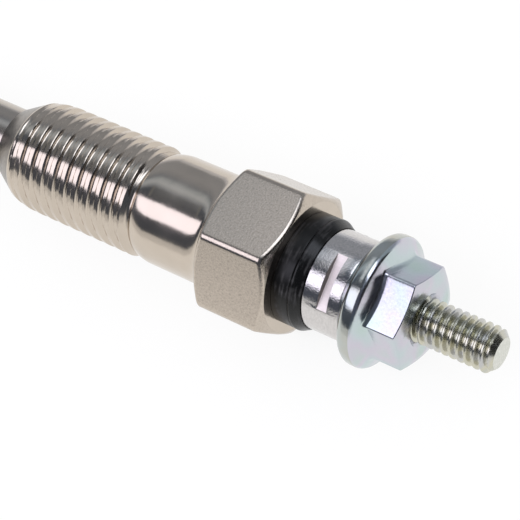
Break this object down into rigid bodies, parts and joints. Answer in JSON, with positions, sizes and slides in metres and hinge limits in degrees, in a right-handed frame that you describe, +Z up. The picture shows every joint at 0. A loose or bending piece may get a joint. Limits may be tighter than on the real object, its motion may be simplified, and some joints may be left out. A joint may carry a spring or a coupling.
{
  "type": "diesel glow plug",
  "caption": "Sheathed diesel glow plug: tapered seat, threaded body with wrench hexagon, insulated terminal, crimped collar and flange nut on a threaded stud.",
  "frame": {"origin": "on the plug's axis, where the taper seat meets the thread", "axes": "+X along the plug from heater tip to terminal, +Z up through a flat of the wrench hexagon"},
  "size_m": [0.072, 0.0136, 0.012],
  "materials": {
    "nickel_plate": "bright nickel plating over turned steel",
    "heat_steel": "ground heat-resisting steel",
    "heating_wire": "drawn resistance wire",
    "control_wire": "drawn nickel wire",
    "magnesia": "packed magnesia powder",
    "seal_rubber": "moulded rubber",
    "yellow_zinc": "pale yellow zinc plating",
    "black_plastic": "satin moulded plastic",
    "collar_steel": "turned and plated steel",
    "clear_zinc": "clear zinc plating with faint iridescence"
  },
  "bodies": {
    "root": {"body_shell": "nickel_plate", "sheath_tube": "heat_steel", "heating_coil": "heating_wire", "control_coil": "control_wire", "magnesia_fill": "magnesia", "sheath_seal": "seal_rubber", "center_rod": "yellow_zinc", "o_ring": "seal_rubber", "insulating_bush": "black_plastic", "insulating_washer": "black_plastic", "crimp_collar": "collar_steel", "flange_nut": "clear_zinc"}
  },
  "joints": []
}
